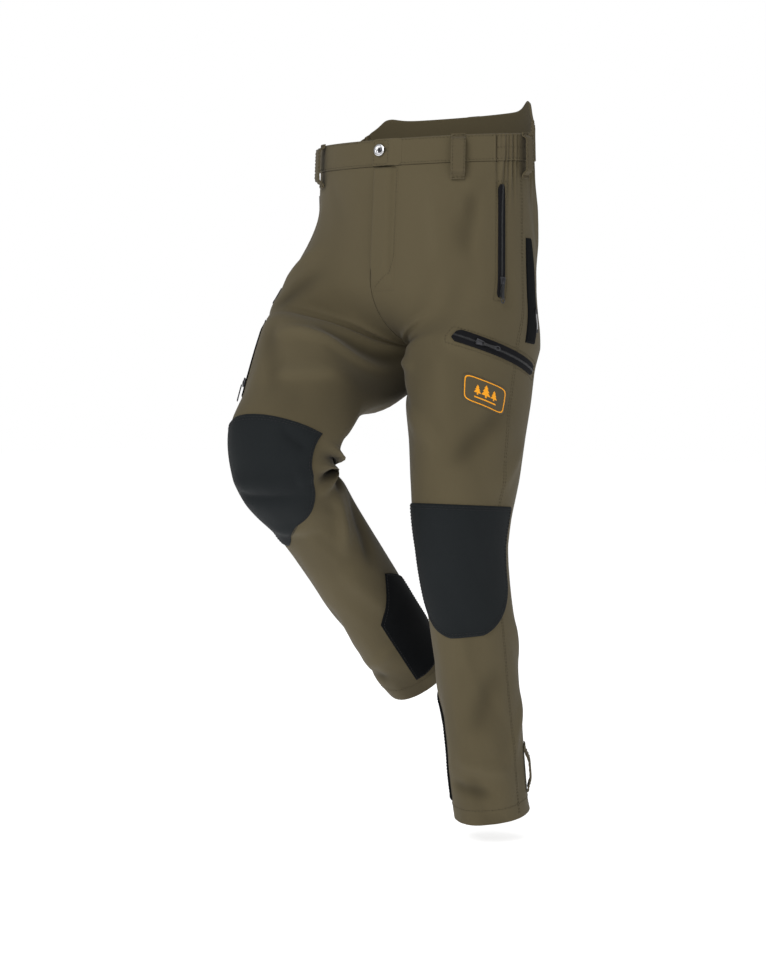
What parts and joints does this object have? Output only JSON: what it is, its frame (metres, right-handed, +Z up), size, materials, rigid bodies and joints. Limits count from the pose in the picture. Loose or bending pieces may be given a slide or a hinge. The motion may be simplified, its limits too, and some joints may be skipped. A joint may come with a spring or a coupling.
{
  "type": "chainsaw protective trousers",
  "caption": "Chainsaw protective trousers, one leg bent: elastic waistband with belt loops, fly, zipped pockets, knee and ankle patches, inner cut-resistant layers.",
  "frame": {"origin": "centre of the waist opening, level with the top edge at the side seams", "axes": "+Z up towards the wearer's head, -Y to the wearer's front, +X to the wearer's left"},
  "size_m": [0.4043, 0.4551, 1.0497],
  "materials": {
    "olive_fabric": "matt dense weave",
    "loop_fabric": "matt folded weave",
    "elastic": "gathered elastic weave",
    "knee_fabric": "matt reinforced weave",
    "black_fabric": "matt stretch weave",
    "zip_tape": "sealed tape with coil teeth",
    "zinc_hardware": "satin cast zinc",
    "badge": "soft moulded",
    "pocket_lining": "thin mesh knit",
    "cut_fibre": "quilted layers of long fibre",
    "label": "woven"
  },
  "bodies": {
    "trunk": {"waistband_front_left": "olive_fabric", "waistband_front_right": "olive_fabric", "waistband_elastic_left": "elastic", "waistband_elastic_right": "elastic", "waistband_back": "olive_fabric", "waistband_end": "olive_fabric", "waist_button": "zinc_hardware", "fly_zip": "zip_tape", "hip_front_left": "olive_fabric", "hip_front_right": "olive_fabric", "hip_back_left": "olive_fabric", "hip_back_right": "olive_fabric", "hip_bend_left": "olive_fabric", "hip_bend_right": "olive_fabric", "side_panel_left": "black_fabric", "side_panel_right": "black_fabric", "side_label": "label", "hand_pocket_bag_left": "pocket_lining", "hand_pocket_bag_right": "pocket_lining", "hand_zip_left": "zip_tape", "hand_zip_right": "zip_tape", "belt_loop_front_left": "loop_fabric", "belt_loop_front_right": "loop_fabric", "belt_loop_side_left": "loop_fabric", "belt_loop_side_right": "loop_fabric", "belt_loop_back": "loop_fabric"},
    "left_thigh": {"thigh_left": "olive_fabric", "knee_bend_left": "olive_fabric", "knee_patch_left": "knee_fabric", "cut_insert_left": "cut_fibre", "thigh_zip_left": "zip_tape", "thigh_pocket_bag_left": "pocket_lining", "vent_zip_left": "zip_tape", "badge": "badge"},
    "left_shin": {"shin_left": "olive_fabric", "ankle_patch_left": "black_fabric"},
    "right_thigh": {"thigh_right": "olive_fabric", "knee_bend_right": "olive_fabric", "knee_patch_right": "knee_fabric", "cut_insert_right": "cut_fibre", "thigh_zip_right": "zip_tape", "thigh_pocket_bag_right": "pocket_lining", "vent_zip_right": "zip_tape"},
    "right_shin": {"shin_right": "olive_fabric", "ankle_patch_right": "black_fabric"},
    "waist_tab": {"waist_tab": "olive_fabric"},
    "fly_flap": {"fly_flap": "olive_fabric"},
    "fly_slider": {"fly_slider": "zinc_hardware"},
    "left_hand_slider": {"hand_slider_left": "zinc_hardware"},
    "left_hand_puller": {"hand_puller_left": "zinc_hardware"},
    "left_thigh_slider": {"thigh_slider_left": "zinc_hardware"},
    "left_thigh_puller": {"thigh_puller_left": "zinc_hardware"},
    "left_vent_slider": {"vent_slider_left": "zinc_hardware"},
    "left_hem_tab": {"hem_tab_left": "olive_fabric"},
    "right_hand_slider": {"hand_slider_right": "zinc_hardware"},
    "right_hand_puller": {"hand_puller_right": "zinc_hardware"},
    "right_thigh_slider": {"thigh_slider_right": "zinc_hardware"},
    "right_thigh_puller": {"thigh_puller_right": "zinc_hardware"},
    "right_vent_slider": {"vent_slider_right": "zinc_hardware"},
    "right_hem_tab": {"hem_tab_right": "olive_fabric"}
  },
  "joints": [
    {"name": "left_hip", "type": "hinge", "parent": "trunk", "child": "left_thigh", "pos_m": [0.09, 0, -0.15], "axis": [-1, 0, 0], "range_deg": [-6, 30], "deforming": ["hip_bend_left", "side_panel_left"]},
    {"name": "right_hip", "type": "hinge", "parent": "trunk", "child": "right_thigh", "pos_m": [-0.09, -0.05, -0.15], "axis": [-1, 0, 0], "range_deg": [-37, 15], "deforming": ["hip_bend_right", "side_panel_right", "thigh_zip_right", "vent_zip_right"]},
    {"name": "left_knee", "type": "hinge", "parent": "left_thigh", "child": "left_shin", "pos_m": [0.095, -0.0669, -0.5954], "axis": [1, 0, 0], "range_deg": [-14, 40], "deforming": ["knee_bend_left", "knee_patch_left", "cut_insert_left"]},
    {"name": "right_knee", "type": "hinge", "parent": "right_thigh", "child": "right_shin", "pos_m": [-0.0776, -0.2656, -0.4857], "axis": [0.9986, 0, 0.0523], "range_deg": [-66, 15], "deforming": ["knee_bend_right", "knee_patch_right", "cut_insert_right"]},
    {"name": "waist_tab_hinge", "type": "hinge", "parent": "trunk", "child": "waist_tab", "pos_m": [0.04084, -0.126, -0.0292], "axis": [-0.0033, 0.0721, 0.9974], "range_deg": [0, 100], "deforming": ["waist_tab"]},
    {"name": "fly_flap_hinge", "type": "hinge", "parent": "trunk", "child": "fly_flap", "pos_m": [0.04116, -0.13175, -0.13262], "axis": [-0.0033, 0.0721, 0.9974], "range_deg": [0, 80]},
    {"name": "fly_slide", "type": "slide", "parent": "trunk", "child": "fly_slider", "axis": [0.001, -0.074, -0.9973], "range_m": [0, 0.13]},
    {"name": "left_hand_zip_slide", "type": "slide", "parent": "trunk", "child": "left_hand_slider", "axis": [-0.0126, 0.0266, 0.9996], "range_m": [0, 0.12]},
    {"name": "left_hand_puller_hinge", "type": "hinge", "parent": "left_hand_slider", "child": "left_hand_puller", "pos_m": [0.16934, -0.04987, -0.21923], "axis": [-0.4026, -0.9128, 0.0691], "range_deg": [0, 150]},
    {"name": "left_thigh_zip_slide", "type": "hinge", "parent": "left_thigh", "child": "left_thigh_slider", "pos_m": [0.02291, -0.01446, -0.31809], "axis": [0.0558, 0.306, 0.9504], "range_deg": [0, 38]},
    {"name": "left_thigh_puller_hinge", "type": "hinge", "parent": "left_thigh_slider", "child": "left_thigh_puller", "pos_m": [0.16227, -0.08957, -0.30307], "axis": [-0.1727, -0.2404, -0.9552], "range_deg": [0, 150]},
    {"name": "left_vent_zip_slide", "type": "slide", "parent": "left_thigh", "child": "left_vent_slider", "axis": [-0.0506, 0.2576, 0.9649], "range_m": [0, 0.058]},
    {"name": "left_hem_tab_hinge", "type": "hinge", "parent": "left_shin", "child": "left_hem_tab", "pos_m": [0.14847, 0.0414, -0.88923], "axis": [0.5261, -0.8426, -0.1152], "range_deg": [0, 80]},
    {"name": "right_hand_zip_slide", "type": "slide", "parent": "trunk", "child": "right_hand_slider", "axis": [0.396, 0.2967, 0.869], "range_m": [0, 0.06]},
    {"name": "right_hand_puller_hinge", "type": "hinge", "parent": "right_hand_slider", "child": "right_hand_puller", "pos_m": [-0.21077, -0.07927, -0.21557], "axis": [-0.4712, 0.8617, -0.1885], "range_deg": [0, 150]},
    {"name": "right_thigh_zip_slide", "type": "slide", "parent": "right_thigh", "child": "right_thigh_slider", "axis": [-0.1189, 0.5162, 0.8482], "range_m": [0, 0.05]},
    {"name": "right_thigh_puller_hinge", "type": "hinge", "parent": "right_thigh_slider", "child": "right_thigh_puller", "pos_m": [-0.15103, -0.24556, -0.3618], "axis": [-0.5862, 0.659, -0.4713], "range_deg": [0, 150]},
    {"name": "right_vent_zip_slide", "type": "slide", "parent": "right_thigh", "child": "right_vent_slider", "axis": [0.0082, 0.7014, 0.7127], "range_m": [0, 0.016]},
    {"name": "right_hem_tab_hinge", "type": "hinge", "parent": "right_shin", "child": "right_hem_tab", "pos_m": [-0.11929, 0.02378, -0.70921], "axis": [0.4028, 0.6545, 0.6398], "range_deg": [0, 80]}
  ]
}
